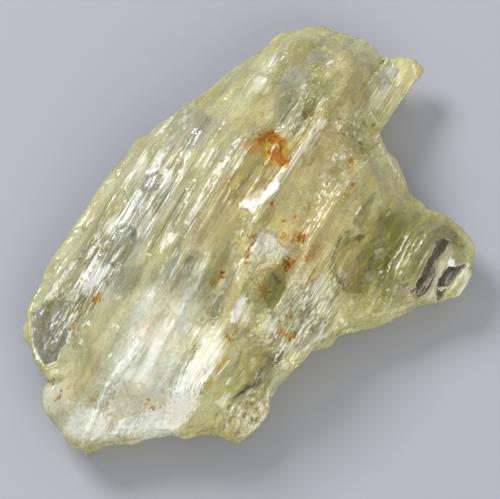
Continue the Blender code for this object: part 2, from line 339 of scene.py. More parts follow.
# %% Shared outlines
GROOVE = ((184, 192), (176, 208), (160, 232), (150, 250))
LOBE_OLIVE = ((331, 262), (336, 246), (341, 236), (347, 230), (352, 234), (356, 240), (366, 238),
    (374, 232), (378, 222), (381, 214), (392, 214), (388, 226), (382, 240), (378, 262), (372, 280),
    (362, 292), (345, 290), (336, 275))
LEFT_WINDOW = ((33, 345), (32, 326), (33, 313), (44, 305), (64, 299), (72, 304), (68, 322), (67, 342),
    (61, 350), (57, 362), (46, 366), (37, 356))
STRIP_BLOB = ((114, 230), (124, 226), (133, 226), (137, 234), (133, 241), (122, 244), (112, 240))
STRIP_HIGH = ((142, 186), (146, 178), (157, 174), (160, 183), (150, 192))
STRIP_LOW = ((160, 190), (168, 186), (169, 196), (160, 208), (154, 212))
STRIP_FOOT = ((112, 290), (122, 268), (144, 266), (138, 284), (124, 300))
PLATEAU_BLOCK = ((180, 276), (184, 262), (190, 254), (200, 256), (194, 268), (189, 278))
PLATEAU_BLADE = ((178, 238), (182, 242), (173, 276), (164, 282))
LOBE_LEFT = ((437, 241), (442, 238), (449, 241), (445, 249), (438, 258), (434, 266), (435, 276),
    (430, 287), (425, 294), (420, 297), (415, 294), (417, 283), (424, 270), (431, 256))
LOBE_RIGHT = ((449, 266), (456, 267), (467, 264), (462, 272), (456, 278), (449, 286), (440, 288),
    (436, 287), (438, 280), (444, 271))
PIT = ((262, 282), (270, 272), (275, 270), (280, 280), (283, 288), (280, 300), (272, 312), (268, 300))
PLATEAU_SLOT = ((213, 318), (210, 312), (216, 298), (224, 290), (222, 302), (218, 316))
print("the lobe's windows have", len(LOBE_LEFT), "and", len(LOBE_RIGHT), "corners")

# %% Named relief
SHOULDER = 0.25  # mm over which a named step rises
NAMED_RELIEF = {
    "long_ridge": (0.28, 1.2, (268, 188), (283, 170), (297, 150), (322, 120)),
    "groove": (-0.3, 1.0, *GROOVE),
    "south_ridge_low": (0.2, 1.0, (88, 430), (114, 376)),
    "south_ridge": (0.2, 1.0, (114, 376), (140, 345)),
    "east_edge": (-0.3, 0, (203, 388), (200, 404), (192, 414), (178, 434), (215, 436), (232, 400),
        (226, 372)),
    "lobe_olive": (-0.5, 0, *LOBE_OLIVE),
    "left_window": (-0.35, 0, *LEFT_WINDOW),
    "left_wedge": (0.22, 0, (44, 303), (58, 280), (72, 262), (80, 262), (66, 298)),
    "strip_blob": (-0.18, 0, *STRIP_BLOB),
    "strip_high": (-0.15, 0, *STRIP_HIGH),
    "strip_low": (-0.15, 0, *STRIP_LOW),
    "strip_foot": (-0.12, 0, *STRIP_FOOT),
    "strip_flake": (0.15, 0, (104, 214), (110, 196), (122, 190), (126, 198), (118, 212)),
    "strip_flake_low": (0.15, 0, (66, 290), (68, 278), (75, 274), (76, 282), (70, 292)),
    "plateau_block": (-0.12, 0, *PLATEAU_BLOCK),
    "plateau_blade": (-0.12, 0, *PLATEAU_BLADE),
    "notch": (-0.8, 0.8, (40, 386), (52, 382), (60, 378)),
    "crown_low": (-0.12, 0, (281, 84), (291, 67), (309, 70), (303, 78), (297, 88)),
    "crown_slot_left": (-0.25, 1.0, (284, 120), (298, 100)),
    "crown_slot_right": (-0.25, 1.2, (296, 132), (312, 100)),
    "lobe_left": (-0.22, 0.5, *LOBE_LEFT),
    "lobe_right": (-0.22, 0, *LOBE_RIGHT),
    "foot_window": (-0.35, 0, (252, 376), (257, 367), (264, 360), (270, 355), (270, 368), (262, 378),
        (256, 386), (251, 384)),
    "foot_crack": (-0.3, 0.8, (233, 398), (243, 392), (249, 386)),
    "pit": (-0.5, 0, *PIT),
    "pit_sheet": (0.35, 0, (250, 250), (262, 232), (270, 234), (280, 246), (292, 254), (276, 262),
        (258, 262)),
    "pit_knob": (0.35, 2, (264, 330), (268, 318), (276, 318), (276, 330)),
    "plateau_slot": (-0.25, 0, *PLATEAU_SLOT),
    "plateau_slab": (0.12, 0, (158, 292), (178, 250), (186, 236), (190, 240), (170, 290)),
    "plateau_slab_low": (0.12, 0, (186, 300), (206, 255), (214, 258), (196, 302)),
    "middle_flake": (0.3, 0, (243, 207), (253, 213), (268, 198), (280, 184), (262, 190)),
    "finger_gully": (-0.35, 1.0, (356, 100), (366, 84), (376, 70), (383, 58)),
    "finger_side": (-0.5, 1.2, (368, 118), (372, 130)),
    "east_shelf": (0.25, 0, (352, 226), (362, 205), (378, 190), (385, 210), (372, 232), (362, 236)),
    "low_slot": (-0.25, 0, (296, 346), (300, 338), (308, 330), (318, 318), (322, 322), (314, 336),
        (302, 344)),
}
print(len(NAMED_RELIEF), "places are raised or sunk")

# %% Raised skin
FLATTER_RIBS, FLATTER_GROOVES, FLATTER_GRAINY = 0.6, 0.85, 0.5
FLAT_FOOT = 0.6  # mm above the table where the relief starts

relief = ribs * (1 - FLATTER_RIBS * level)
relief += (grooves + fine_lines) * fluted * (1 - FLATTER_GROOVES * level)
relief = relief * (1 - FLATTER_GRAINY * grainy) + pits * grainy
for mark in each_mark(NAMED_RELIEF):
    relief += mark[0] * np.clip(1 + inside(mark, pixels) / SHOULDER, 0, 1) * facing
relief *= np.clip(places[:, 2] / FLAT_FOOT, 0, 1)
places += outward * relief[:, None]
places[:, 2] = np.maximum(places[:, 2], 0)
fine.vertices.foreach_set("co", (places * MM).ravel())
fine.update()
print("relief from", relief.min().round(2), "to", relief.max().round(2), "mm")

# %% [markdown]
# ## Fewer points where nobody looks
#
# The underside lies on the table, so its points are thinned first, and then the whole skin is
# thinned where it is flat, down to a size that every program can open.

# %% Thinning
UNDERSIDE_POINTS = 20_000
SKIN_TRIANGLES = 190_000
TURNED_UNDER = -0.1


def thin(triangles, protected=None):
    """Collapses the least needed edges until that many triangles are left."""
    now = sum(len(f.vertices) - 2 for f in fine.polygons)
    step = crystal.modifiers.new("thinning", "DECIMATE")
    step.ratio = min(1.0, triangles / now)
    if protected is not None:
        group = crystal.vertex_groups.new(name="in_sight")
        group.add([int(i) for i in protected], 1.0, "REPLACE")
        step.vertex_group, step.invert_vertex_group = group.name, True
    return bake_modifiers()


in_sight = np.nonzero(outward[:, 2] > TURNED_UNDER)[0]
fine = thin(2 * (len(in_sight) + UNDERSIDE_POINTS), in_sight)
crystal.vertex_groups.clear()
fine = thin(SKIN_TRIANGLES)
fine.polygons.foreach_set("use_smooth", np.ones(len(fine.polygons), bool))
print("thinned to", len(fine.vertices), "points,", len(fine.polygons), "faces")

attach(crystal, "root")
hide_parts("heliodor_crystal")

# %% [markdown]
# ## Clear windows
#
# Where a splinter broke off clean, the stone is clear to the bottom. Each window has a strength,
# which also picks its tint: faintly blue-grey like the table seen through up to about 0.5, nearly
# colourless at 0.6, and from there darker to the deep brown of the lobe's windows at 1, a painted
# shade of the shaded table under them.

# %% Windows
WINDOWS = {
    "left_low": (0.7, 0, *LEFT_WINDOW),
    "crown_low": (0.36, 0, (280, 89), (284, 80), (290, 67), (297, 66), (303, 68), (309, 70), (308, 78),
        (300, 86), (290, 90)),
    "blob": (0.32, 0, *STRIP_BLOB),
    "strip_high": (0.28, 0, *STRIP_HIGH),
    "strip_low": (0.28, 0, *STRIP_LOW),
    "strip_foot": (0.22, 0, *STRIP_FOOT),
    "north_facet": (0.35, 0, (184, 148), (192, 130), (204, 114), (212, 120), (200, 140), (190, 152)),
    "plateau_block": (0.25, 0, *PLATEAU_BLOCK),
    "plateau_blade": (0.25, 0, *PLATEAU_BLADE),
    "plateau_blade_low": (0.28, 0, (222, 288), (226, 276), (232, 270), (236, 272), (230, 288),
        (224, 292)),
    "strip_spot": (0.8, 0.5, (151, 189), (160, 184), (158, 190)),
    "crown_strokes": [(0.7, 0.6, (288, 103), (291, 100)), (0.6, 0.6, (310, 110), (313, 98)),
        (0.5, 0.8, (284, 120), (298, 100)), (0.5, 0.9, (296, 132), (301, 118))],
    # The lobe's windows go deep brown: painted shade of the shaded table seen through them.
    "lobe_left": (1.0, 0.5, *LOBE_LEFT),
    "lobe_right": (1.0, 0.3, *LOBE_RIGHT),
    "lobe_low": (0.95, 0.3, (436, 289), (446, 288), (445, 294), (440, 301), (436, 300)),
    "crown_high": (0.34, 0.5, (314, 51), (320, 49), (330, 55), (326, 61), (316, 62), (308, 62),
        (310, 56)),
    "finger": (0.36, 0.3, (376, 84), (381, 72), (388, 62), (396, 62), (399, 72), (390, 84), (380, 92)),
    "foot": (0.8, 0, (252, 386), (256, 376), (262, 366), (268, 356), (274, 352), (286, 350), (281, 362),
        (273, 367), (264, 380), (258, 388)),
    "foot_crack": (0.9, 0.8, (233, 398), (243, 392), (249, 386)),
    "lower_right": (0.7, 0, (298, 314), (305, 306), (312, 308), (309, 318), (303, 326), (298, 320)),
    "lower_right_strip": (0.6, 0.3, (294, 348), (300, 338), (308, 330), (321, 316), (325, 320),
        (314, 334), (302, 346)),
    "plateau_slot": (0.6, 0, *PLATEAU_SLOT),
}
print(len(WINDOWS), "names of windows")

# %% [markdown]
# ## White and frosted places
#
# White lines are painted highlights: the bright edges of splinters, the cracks that catch the light
# and the glints. Frosted places are broader and fainter, where fine cracks lie close together.

# %% White lines and patches
# Painted highlights: bright splinter edges, cracks that catch the light, and glints.
WHITES_AND_HIGHLIGHTS = {
    "middle_patch": (1.0, 0, (243, 207), (250, 210), (253, 213), (258, 205), (268, 198), (276, 190),
        (280, 184), (276, 180), (268, 186), (262, 194), (252, 202), (246, 200)),
    "ridge_top": (0.8, 1.0, (282, 172), (287, 166)),
    "short_streak": (1.0, 0, (232, 322), (231, 314), (238, 302), (245, 296), (247, 300), (240, 312),
        (236, 324)),
    "left_wedge": (0.9, 0, (42, 305), (52, 296), (66, 276), (76, 262), (72, 262), (58, 280), (46, 298)),
    "left_strokes": [(0.7, 0.4, (50, 301), (70, 284)), (0.8, 0.7, (66, 298), (96, 258)),
        (0.8, 0.8, (70, 318), (76, 312)), (0.9, 1.2, (67, 342), (71, 333)),
        (0.9, 0.8, (80, 343), (82, 340))],
    "window_strokes": [(0.8, 0.6, (52, 342), (60, 328)), (0.8, 0.6, (56, 342), (66, 322)),
        (0.7, 0.6, (48, 330), (58, 312)), (0.7, 0.5, (42, 352), (50, 338)),
        (0.6, 0.5, (62, 336), (68, 320))],
    "glint_low": (0.9, 0, (300, 311), (303, 303), (307, 296), (308, 300), (303, 310)),
    "lobe_glint": (1.0, 0, (446, 262), (450, 258), (456, 261), (455, 266), (449, 266)),
    "lobe_band": (0.4, 0, (449, 243), (455, 250), (448, 262), (440, 272), (435, 288), (432, 300),
        (426, 298), (432, 288), (437, 276), (436, 267), (441, 257)),
    "lobe_strokes": [(0.9, 0.5, (393, 264), (408, 233)), (0.95, 0.5, (397, 268), (411, 240)),
        (0.5, 1.2, (400, 272), (408, 258)), (0.7, 0.4, (418, 270), (434, 240)),
        (0.8, 0.4, (436, 288), (448, 287)), (0.6, 0.4, (450, 286), (463, 270))],
    "lobe_rim": (0.7, 0.8, (452, 288), (458, 272), (468, 264)),
    "lobe_rim_low": (0.6, 0.8, (462, 298), (464, 290), (472, 276)),
    "north_west_strokes": [(0.7, 0.9, (184, 158), (200, 132)), (0.7, 1.0, (135, 178), (148, 160)),
        (0.7, 1.2, (156, 136), (172, 118)), (0.7, 1.0, (204, 168), (213, 148)),
        (0.5, 1.2, (184, 128), (185, 110)), (0.6, 0.5, (209, 166), (219, 148))],
    "middle_strokes": [(0.6, 0.4, (232, 166), (248, 142)), (0.6, 0.4, (237, 168), (250, 146)),
        (0.5, 0.4, (222, 202), (234, 188)), (0.5, 0.4, (228, 206), (238, 188))],
    "crown_strokes": [(0.6, 0.5, (283, 124), (299, 102)), (0.5, 0.5, (290, 128), (304, 104)),
        (0.6, 0.5, (296, 136), (312, 112)), (0.8, 1.2, (303, 88), (306, 86)),
        (0.8, 1.2, (327, 66), (331, 60)), (0.7, 0.9, (281, 60), (283, 57)),
        (0.7, 0.7, (262, 84), (270, 70)), (0.6, 1.0, (270, 66), (276, 54))],
    "strip_strokes": [(0.8, 0.9, (138, 236), (160, 200)), (0.6, 0.5, (128, 214), (140, 196)),
        (0.6, 0.6, (112, 262), (122, 248)), (0.5, 0.5, (146, 230), (158, 212)),
        (0.7, 0.8, (148, 206), (166, 180)), (0.8, 0.6, (104, 226), (107, 223)),
        (0.8, 0.6, (110, 232), (113, 227)), (0.8, 0.5, (122, 222), (130, 214)),
        (0.8, 0.5, (135, 214), (142, 206)), (0.8, 0.6, (97, 216), (84, 226)),
        (0.8, 0.6, (62, 268), (66, 258))],
    "groove_side": (0.7, 0.6, (185, 204), (190, 192)),
    "plateau_strokes": [(0.7, 0.4, (170, 277), (182, 254)), (0.5, 0.4, (196, 290), (214, 238)),
        (0.6, 0.7, (161, 272), (167, 257))],
    "sheet_strokes": [(0.7, 0.4, (246, 262), (262, 233)), (0.5, 0.4, (268, 236), (276, 256))],
    "sheet_fold": (0.6, 0.4, (262, 233), (272, 240), (290, 253)),
    "sheet_low": (0.7, 0.4, (252, 272), (268, 262), (284, 258)),
    "east_core": (0.65, 0, (164, 426), (167, 408), (174, 390), (184, 374), (194, 354), (204, 338),
        (214, 338), (212, 350), (222, 350), (221, 362), (209, 375), (200, 387), (199, 404), (191, 416),
        (182, 426), (172, 431)),
    "east_strokes": [(0.7, 0.8, (176, 382), (190, 356)), (0.6, 0.7, (168, 398), (178, 378)),
        (0.6, 0.7, (186, 350), (198, 330)), (0.9, 0.7, (214, 380), (229, 360)),
        (0.9, 0.6, (197, 356), (202, 347)), (0.8, 0.8, (190, 366), (195, 358)),
        (0.7, 0.9, (350, 122), (359, 127))],
    "south_strokes": [(0.85, 0.5, (86, 432), (98, 404)), (0.85, 0.5, (98, 404), (113, 374)),
        (0.85, 0.5, (113, 374), (138, 342)), (0.8, 0.3, (104, 402), (119, 374)),
        (0.8, 0.3, (119, 374), (144, 342)), (0.6, 0.5, (96, 424), (108, 400)),
        (0.6, 0.5, (128, 372), (140, 354)), (0.7, 1.0, (112, 436), (124, 418)),
        (0.7, 0.8, (128, 434), (142, 412)), (0.6, 1.2, (144, 430), (156, 414))],
    "foot_strokes": [(0.8, 0.4, (238, 416), (243, 408)), (0.8, 0.4, (246, 422), (250, 414)),
        (0.7, 0.5, (226, 418), (230, 411)), (0.7, 0.4, (247, 400), (252, 393)),
        (0.8, 0.6, (226, 384), (234, 366)), (0.7, 0.5, (240, 378), (252, 358)),
        (0.9, 0.7, (268, 389), (268, 408)), (0.9, 0.7, (267, 412), (258, 426)),
        (0.8, 0.7, (256, 428), (244, 435)), (0.8, 0.5, (250, 380), (255, 358)),
        (0.8, 0.7, (246, 394), (252, 388)), (0.7, 0.6, (258, 392), (262, 384)),
        (0.8, 0.6, (232, 408), (236, 402)), (0.7, 0.6, (252, 430), (255, 425))],
    "foot_line": (0.8, 0.6, (262, 380), (274, 360), (286, 344)),
    "right_line": (0.8, 0.6, (284, 356), (298, 334), (312, 312)),
    "right_strokes": [(0.7, 0.5, (276, 352), (290, 328)), (0.7, 0.5, (306, 330), (318, 308)),
        (0.6, 0.6, (376, 140), (384, 152)), (0.6, 0.6, (386, 156), (402, 182))],
    "foot_facet": (0.6, 0, (257, 402), (262, 400), (264, 408), (260, 412)),
    "foot_facet_left": (0.6, 0, (216, 402), (226, 392), (232, 394), (222, 408)),
    "lobe_edge": (0.6, 0, (454, 298), (461, 286), (467, 268), (472, 274), (468, 292), (460, 301)),
    "window_edge_left": (0.9, 0.6, (32, 344), (37, 358), (45, 367)),
    "finger_strokes": [(0.6, 0.5, (414, 64), (415, 75)), (0.5, 0.5, (414, 78), (406, 92)),
        (0.5, 0.5, (402, 98), (386, 124)), (0.6, 0.7, (368, 84), (374, 76)),
        (0.6, 0.5, (375, 142), (379, 134))],
    "low_strokes": [(0.4, 0.9, (272, 376), (290, 361)), (0.5, 0.9, (292, 359), (308, 346)),
        (0.4, 0.9, (312, 343), (330, 331)), (0.4, 0.8, (334, 329), (368, 318)),
        (0.35, 0.8, (372, 317), (416, 303)), (0.7, 1.2, (340, 320), (346, 324)),
        (0.7, 0.8, (344, 331), (352, 329))],
    "tip": (0.8, 1.0, (52, 388), (60, 380)),
    "rim_flake": (0.8, 1.0, (122, 428), (136, 426)),
    "notch_line": (0.6, 0.8, (336, 122), (338, 130)),
}
FROSTED = {
    "east_patch": (0.5, -2, (160, 431), (165, 412), (170, 400), (176, 386), (182, 373), (188, 362),
        (194, 352), (199, 341), (184, 328), (205, 324), (225, 332), (224, 352), (221, 363), (209, 376),
        (201, 387), (200, 405), (191, 417), (182, 427), (170, 434)),
    "east_low": (0.45, 0, (130, 432), (150, 408), (168, 405), (172, 430), (150, 438)),
    "upper_patch": (0.5, 2, (196, 330), (222, 328), (222, 345), (200, 345)),
    "long_ridge": (0.75, -1, (268, 186), (282, 170), (295, 152), (308, 137), (320, 119), (326, 120),
        (314, 140), (300, 158), (288, 172), (276, 186)),
    "crown_low": (0.3, 1, (280, 89), (284, 80), (290, 67), (309, 70), (308, 78), (300, 86)),
    "crown_high": (0.25, 1, (314, 51), (320, 49), (330, 55), (326, 61), (308, 62)),
    "lobe_low": (0.35, 2, (388, 288), (408, 282), (414, 290), (394, 295)),
    "middle_left": (0.5, 1, (243, 205), (250, 192), (262, 190), (258, 204)),
    "south_tip": (0.4, 3, (66, 430), (78, 412), (100, 412), (108, 434), (80, 438)),
    "plateau_low": (0.3, 6, (112, 380), (135, 335), (165, 325), (172, 345), (148, 378)),
    "strip_patches": [(0.7, 1, (126, 184), (134, 168), (146, 154), (148, 160), (136, 180)),
        (0.7, 1, (156, 204), (160, 186), (170, 170), (172, 178), (166, 196)),
        (0.7, 1, (98, 236), (104, 222), (118, 216), (122, 224), (112, 228)),
        (0.7, 1, (80, 292), (84, 274), (100, 266), (110, 268), (102, 284), (90, 296)),
        (0.7, 1, (136, 236), (142, 220), (152, 206), (154, 214), (144, 232)),
        (0.6, 1, (60, 306), (66, 294), (78, 288), (74, 304))],
    "crown_left": (0.4, 2, (250, 90), (264, 66), (274, 62), (264, 88)),
    "pit_sheet": (0.5, 0.5, (248, 258), (256, 242), (262, 232), (270, 233), (280, 245), (292, 253),
        (276, 257), (262, 252)),
    "pit_knob": (0.6, 2, (264, 330), (268, 320), (274, 320), (274, 330)),
    "short_streak": (0.5, 2, (236, 318), (245, 300), (250, 305), (244, 318)),
    "finger": (0.3, 2, (372, 100), (384, 82), (392, 88), (380, 108)),
    "low_right": (0.45, 3, (312, 290), (322, 275), (330, 290), (325, 310)),
}
print(len(WHITES_AND_HIGHLIGHTS), "names of white marks,", len(FROSTED), "frosted places")

# %% [markdown]
# ## Rust
#
# Water has carried iron into cracks and pits and left rust there. It is thickest, and red to
# brown, in the middle of a stain, and thins out to gold.

# %% Rust and gold
RUST = {
    "main_high": (0.75, 0.4, (254, 140), (261, 134), (271, 131), (279, 136), (285, 143), (281, 148),
        (276, 143), (267, 141), (261, 144), (257, 148)),
    "main": (0.75, 0.6, (268, 152), (273, 147), (281, 151), (284, 158), (289, 159), (287, 166),
        (280, 165), (272, 159)),
    "main_left": (0.35, 0, (240, 141), (258, 135), (262, 150), (256, 156), (246, 150)),
    "main_core": (0.85, 0, (269, 153), (277, 150), (281, 156), (275, 159), (270, 157)),
    "main_brown": (1.0, 0, (276, 145), (281, 143), (285, 144), (281, 148)),
    "main_strokes": [(0.7, 0.5, (263, 165), (267, 168)), (0.6, 0.5, (273, 168), (277, 171)),
        (0.7, 1.0, (283, 166), (286, 162))],
    "red_strokes": [(0.5, 0.8, (221, 162), (224, 159)), (0.5, 1.2, (212, 284), (217, 277))],
    "soft_left": (0.28, 3, (222, 188), (236, 172)),
    "upper_dot": (0.75, 1.2, (272, 203), (275, 202)),
    "stroke_high": (0.65, 1.3, (294, 222), (298, 215)),
    "thin_strokes": [(0.6, 0.5, (283, 232), (284, 221)), (0.6, 0.8, (287, 230), (292, 229))],
    "patch_strokes": [(0.6, 1.5, (283, 238), (287, 236)), (0.5, 1.0, (291, 241), (295, 239))],
    "patch_right": (0.75, 0.8, (297, 238), (300, 234), (305, 233), (303, 241)),
    "rusty_strokes": [(0.65, 1.0, (250, 237), (256, 236)), (0.6, 1.0, (250, 246), (253, 243)),
        (0.65, 1.1, (246, 262), (250, 248))],
    "dark_red": (1.0, 0.3, (284, 262), (288, 259), (293, 260), (292, 266), (286, 270), (283, 269)),
    "arc_strokes": [(0.55, 0.7, (294, 260), (300, 255)), (0.55, 0.7, (304, 254), (306, 262)),
        (0.5, 0.6, (299, 266), (300, 270))],
    "right_streak": (0.5, 0.9, (310, 282), (315, 267)),
    "red_streak": (0.95, 0, (216, 276), (220, 272), (226, 269), (223, 276), (219, 279)),
    "pit_dot": (0.5, 0.8, (257, 265), (261, 262)),
    "pit_orange": (0.4, 1, (258, 288), (262, 284), (270, 292), (262, 298)),
    "low_strokes": [(0.62, 2.4, (288, 317), (291, 316)), (0.6, 1.8, (281, 330), (285, 336)),
        (0.62, 2.0, (291, 339), (295, 334))],
    "gold_high": (0.45, 1.5, (226, 334), (232, 341)),
    "plateau_strokes": [(0.25, 1.5, (145, 327), (148, 329)), (0.3, 1.2, (208, 231), (216, 226)),
        (0.25, 2.5, (192, 222), (197, 213))],
    "south_strokes": [(0.45, 1.0, (146, 403), (149, 399)), (0.6, 0.6, (151, 409), (155, 408))],
    "brown_strokes": [(0.3, 1.5, (104, 379), (108, 380)), (0.35, 1.5, (93, 401), (97, 396))],
    "tip_strokes": [(0.6, 0.8, (55, 402), (62, 392)), (0.55, 0.8, (66, 390), (72, 386))],
    "left_strokes": [(0.5, 1.0, (71, 330), (73, 328)), (0.5, 0.7, (86, 308), (92, 303))],
    "left_orange": (0.65, 0.3, (93, 300), (97, 294), (100, 293), (100, 300), (96, 304), (92, 303)),
    "east_strokes": [(0.55, 2.0, (350, 160), (351, 162)), (0.5, 2.0, (348, 167), (350, 171)),
        (0.45, 2.4, (352, 186), (354, 187)), (0.4, 1.2, (342, 195), (346, 195))],
    "crown_strokes": [(0.45, 1.2, (261, 115), (263, 114)), (0.35, 1.5, (268, 75), (271, 74))],
    "lobe_strokes": [(0.4, 1.5, (453, 243), (464, 243)), (0.25, 1.5, (398, 298), (416, 297))],
    "olive_brown": (0.22, 3, (352, 280), (360, 268)),
    "east_soft": (0.3, 1, (308, 256), (314, 244), (320, 240), (316, 256), (310, 262)),
}
GOLD = {
    "stain": (1.0, 1.5, (256, 136), (274, 131), (287, 144), (287, 166), (272, 162), (262, 152)),
    "stain_left": (0.45, 1.5, (238, 141), (256, 136), (260, 152), (246, 152)),
    "stain_low": (0.6, 1.5, (262, 168), (278, 170)),
    "east": (0.6, 2.0, (349, 158), (351, 172)),
    "east_low": (0.7, 1.5, (352, 186), (355, 188)),
    "patch": (0.4, 2.0, (283, 238), (292, 230), (304, 234)),
    "low": (0.6, 2.0, (282, 332), (294, 336)),
    "high": (0.75, 0, (213, 372), (220, 362), (230, 354), (226, 364), (217, 372)),
    "foot_stroke": (0.75, 0, (205, 386), (209, 380), (216, 377), (214, 384), (208, 390)),
}
print(len(RUST), "names of rust stains,", len(GOLD), "golden rims")

# %% [markdown]
# ## Painted shade of cracks, and shade
#
# Open cracks and the steep sides of steps are painted dark, as painted shade, because light goes in
# and doesn't come back.
# Shade is broader: there the stone is clearer and the eye looks down into it.

# %% Cracks and shade
# Painted shade: cracks and steep steps are drawn dark where light doesn't come back.
CRACK_SHADE = {
    "crown_strokes": [(0.9, 0.6, (288, 102), (291, 100)), (0.45, 0.7, (310, 111), (314, 102)),
        (0.5, 0.4, (281, 122), (298, 99)), (0.5, 0.5, (294, 134), (302, 119))],
    "main_line": (0.5, 0.4, (252, 137), (254, 129)),
    "foot_long": (0.85, 0.7, (233, 398), (243, 392), (248, 387)),
    "foot_strokes": [(0.8, 0.7, (246, 385), (250, 387)), (0.6, 0.8, (264, 354), (269, 353)),
        (0.75, 0.6, (224, 427), (230, 420)), (0.7, 0.5, (231, 419), (235, 414)),
        (0.8, 0.6, (250, 424), (252, 418)), (0.75, 0.6, (256, 420), (258, 415)),
        (0.6, 0.6, (214, 420), (218, 414)), (0.6, 0.5, (226, 412), (230, 404)),
        (0.6, 0.5, (240, 420), (243, 414)), (0.5, 0.5, (236, 410), (241, 403)),
        (0.5, 0.4, (245, 408), (248, 402)), (0.6, 0.5, (220, 432), (224, 427)),
        (0.8, 0.7, (228, 424), (233, 417)), (0.5, 0.4, (252, 408), (255, 402))],
    "notch_strokes": [(0.7, 0.5, (46, 383), (58, 377)), (0.6, 0.7, (343, 134), (344, 136))],
    "window_strokes": [(0.8, 0.6, (76, 322), (84, 311)), (0.8, 0.9, (47, 334), (50, 324)),
        (0.8, 1.0, (60, 344), (66, 330)), (0.7, 1.0, (40, 352), (46, 362)),
        (0.7, 1.0, (53, 356), (58, 346)), (0.8, 0.9, (44, 363), (47, 362)),
        (0.7, 0.8, (58, 318), (66, 308)), (0.7, 0.8, (38, 340), (46, 322)),
        (0.6, 0.8, (50, 352), (54, 344)), (0.5, 0.4, (42, 306), (64, 299)),
        (0.4, 1.5, (35, 330), (36, 346))],
    "south_strokes": [(0.7, 0.6, (150, 409), (155, 408)), (0.35, 1.2, (102, 412), (107, 404))],
    "groove_strokes": [(0.55, 0.8, (151, 250), (176, 209)), (0.6, 0.5, (183, 205), (186, 204))],
    "east_zigzag": (0.8, 1.0, (354, 240), (357, 236), (362, 236)),
    "east_strokes": [(0.95, 0.8, (374, 252), (376, 253)), (0.5, 0.8, (363, 253), (369, 251))],
    "olive_strokes": [(0.7, 1.0, (333, 258), (335, 251)), (0.75, 1.2, (337, 246), (341, 238)),
        (0.7, 0.9, (343, 234), (349, 231)), (0.75, 1.4, (378, 222), (382, 216)),
        (0.75, 1.0, (354, 264), (360, 256)), (0.75, 1.0, (364, 250), (369, 243)),
        (0.45, 0.5, (331, 258), (337, 266))],
    "olive_facet": (0.85, 1.0, (354, 237), (360, 235), (364, 236), (359, 241)),
    "olive_low": (0.6, 0.9, (334, 268), (338, 280), (344, 288)),
    "shelf_strokes": [(0.6, 1.2, (354, 222), (360, 210)), (0.3, 2.0, (374, 194), (362, 214))],
    "lobe_strokes": [(0.7, 0.9, (412, 274), (420, 258)), (0.75, 1.5, (434, 232), (439, 238)),
        (0.75, 1.4, (443, 231), (449, 236)), (0.75, 1.6, (451, 236), (455, 243)),
        (0.75, 1.2, (456, 245), (463, 247)), (0.7, 1.1, (428, 238), (433, 236)),
        (0.35, 2.0, (418, 214), (406, 232)), (0.3, 1.5, (404, 236), (394, 248)),
        (0.85, 1.1, (368, 262), (373, 256)), (0.8, 1.1, (378, 248), (384, 240)),
        (0.8, 1.0, (384, 262), (391, 252)), (0.8, 1.1, (360, 278), (366, 271)),
        (0.8, 1.0, (400, 288), (408, 284)), (0.8, 1.0, (410, 292), (418, 288))],
    "finger_strokes": [(0.6, 0.8, (381, 63), (385, 61)), (0.5, 0.7, (370, 80), (378, 76)),
        (0.6, 0.8, (391, 67), (395, 65)), (0.35, 1.5, (362, 88), (365, 84)),
        (0.4, 0.6, (395, 76), (399, 70)), (0.6, 0.6, (372, 126), (375, 125))],
    "right_strokes": [(0.5, 0.6, (320, 190), (321, 190)), (0.5, 0.5, (323, 185), (324, 187))],
    "low_strokes": [(0.7, 0.6, (325, 323), (327, 324)), (0.45, 1.2, (298, 318), (306, 312))],
    "pit_line": (0.7, 0.6, (271, 271), (276, 275), (281, 288)),
    "pit_strokes": [(0.5, 0.6, (262, 298), (268, 295)), (0.35, 1.5, (268, 284), (278, 290))],
    "knob_low": (0.4, 0.8, (256, 342), (276, 346)),
    "blob_right": (0.6, 0.6, (131, 226), (136, 231), (137, 236), (133, 241)),
    "blob_top": (0.5, 0.5, (122, 227), (130, 225)),
    "strip_arc": (0.6, 0.5, (81, 226), (83, 230), (87, 230)),
    "strip_strokes": [(0.5, 0.4, (150, 191), (158, 186)), (0.45, 0.5, (94, 264), (104, 250)),
        (0.45, 0.5, (106, 250), (114, 240)), (0.6, 0.5, (108, 262), (114, 266)),
        (0.6, 0.6, (152, 188), (159, 185)), (0.4, 0.6, (148, 196), (152, 191)),
        (0.4, 0.6, (144, 178), (150, 174))],
    "left_hook": (0.6, 0.4, (112, 263), (115, 261)),
    "nw": (0.4, 1.2, (181, 143), (188, 139)),
    "plateau_strokes": [(0.3, 0.5, (192, 300), (214, 262)), (0.3, 0.5, (212, 318), (222, 292))],
}
